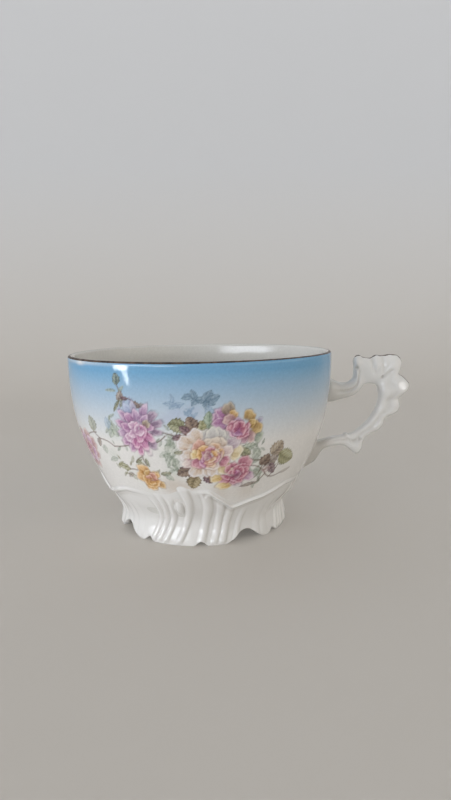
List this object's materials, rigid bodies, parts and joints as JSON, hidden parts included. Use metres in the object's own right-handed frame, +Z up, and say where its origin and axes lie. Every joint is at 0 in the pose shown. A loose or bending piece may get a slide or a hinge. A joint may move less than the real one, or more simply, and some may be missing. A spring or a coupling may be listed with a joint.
{
  "type": "moustache cup",
  "caption": "Low porcelain cup with a scalloped fluted foot, a scroll handle with a finger loop, and a bridge inside the rim that keeps a moustache dry while drinking through a half-moon slot.",
  "frame": {"origin": "centre of the foot, on the surface that the cup stands on", "axes": "+Z up, +X towards the handle, -Y towards the drinker when the cup is held in the right hand"},
  "size_m": [0.127, 0.096, 0.0636],
  "materials": {
    "glazed_porcelain": "glossy clear glaze over white porcelain, with a graded blue ground and a printed rose spray on the bowl",
    "slip": "fired luting slip under the glaze",
    "gilding": "worn burnished gold line"
  },
  "bodies": {
    "root": {"bowl": "glazed_porcelain", "foot_skirt": "glazed_porcelain", "foot_slip": "slip", "handle": "glazed_porcelain", "upper_handle_slip": "slip", "lower_handle_slip": "slip", "moustache_guard": "glazed_porcelain", "guard_slip": "slip", "rim_gilding": "gilding", "handle_gilding": "gilding"}
  },
  "joints": []
}
